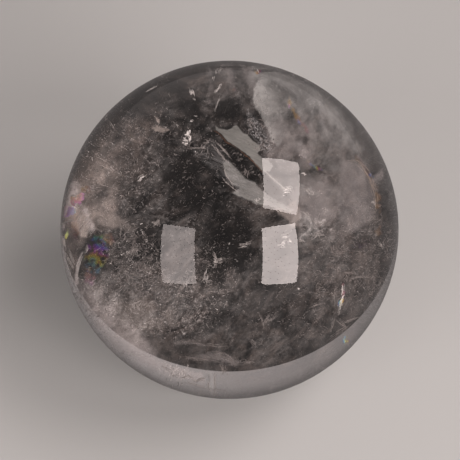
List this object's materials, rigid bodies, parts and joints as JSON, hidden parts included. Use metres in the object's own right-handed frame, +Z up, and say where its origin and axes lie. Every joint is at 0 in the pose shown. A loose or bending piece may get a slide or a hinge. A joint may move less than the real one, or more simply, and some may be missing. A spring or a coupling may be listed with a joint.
{
  "type": "quartz sphere",
  "caption": "Polished clear quartz sphere with milky veils, cracks and rainbow flashes inside, ground flat in one small spot so that it stands still.",
  "frame": {"origin": "centre of the small flat spot that the sphere rests on", "axes": "+Z up through the centre of the sphere, square to the flat spot; X and Y lie in the surface that it rests on, with -Y towards the picture's camera"},
  "size_m": [0.07, 0.07, 0.0697],
  "materials": {
    "polished_quartz": "polished clear stone, refractive index 1.544, with milky inclusions"
  },
  "bodies": {
    "root": {"quartz_sphere": "polished_quartz"}
  },
  "joints": []
}
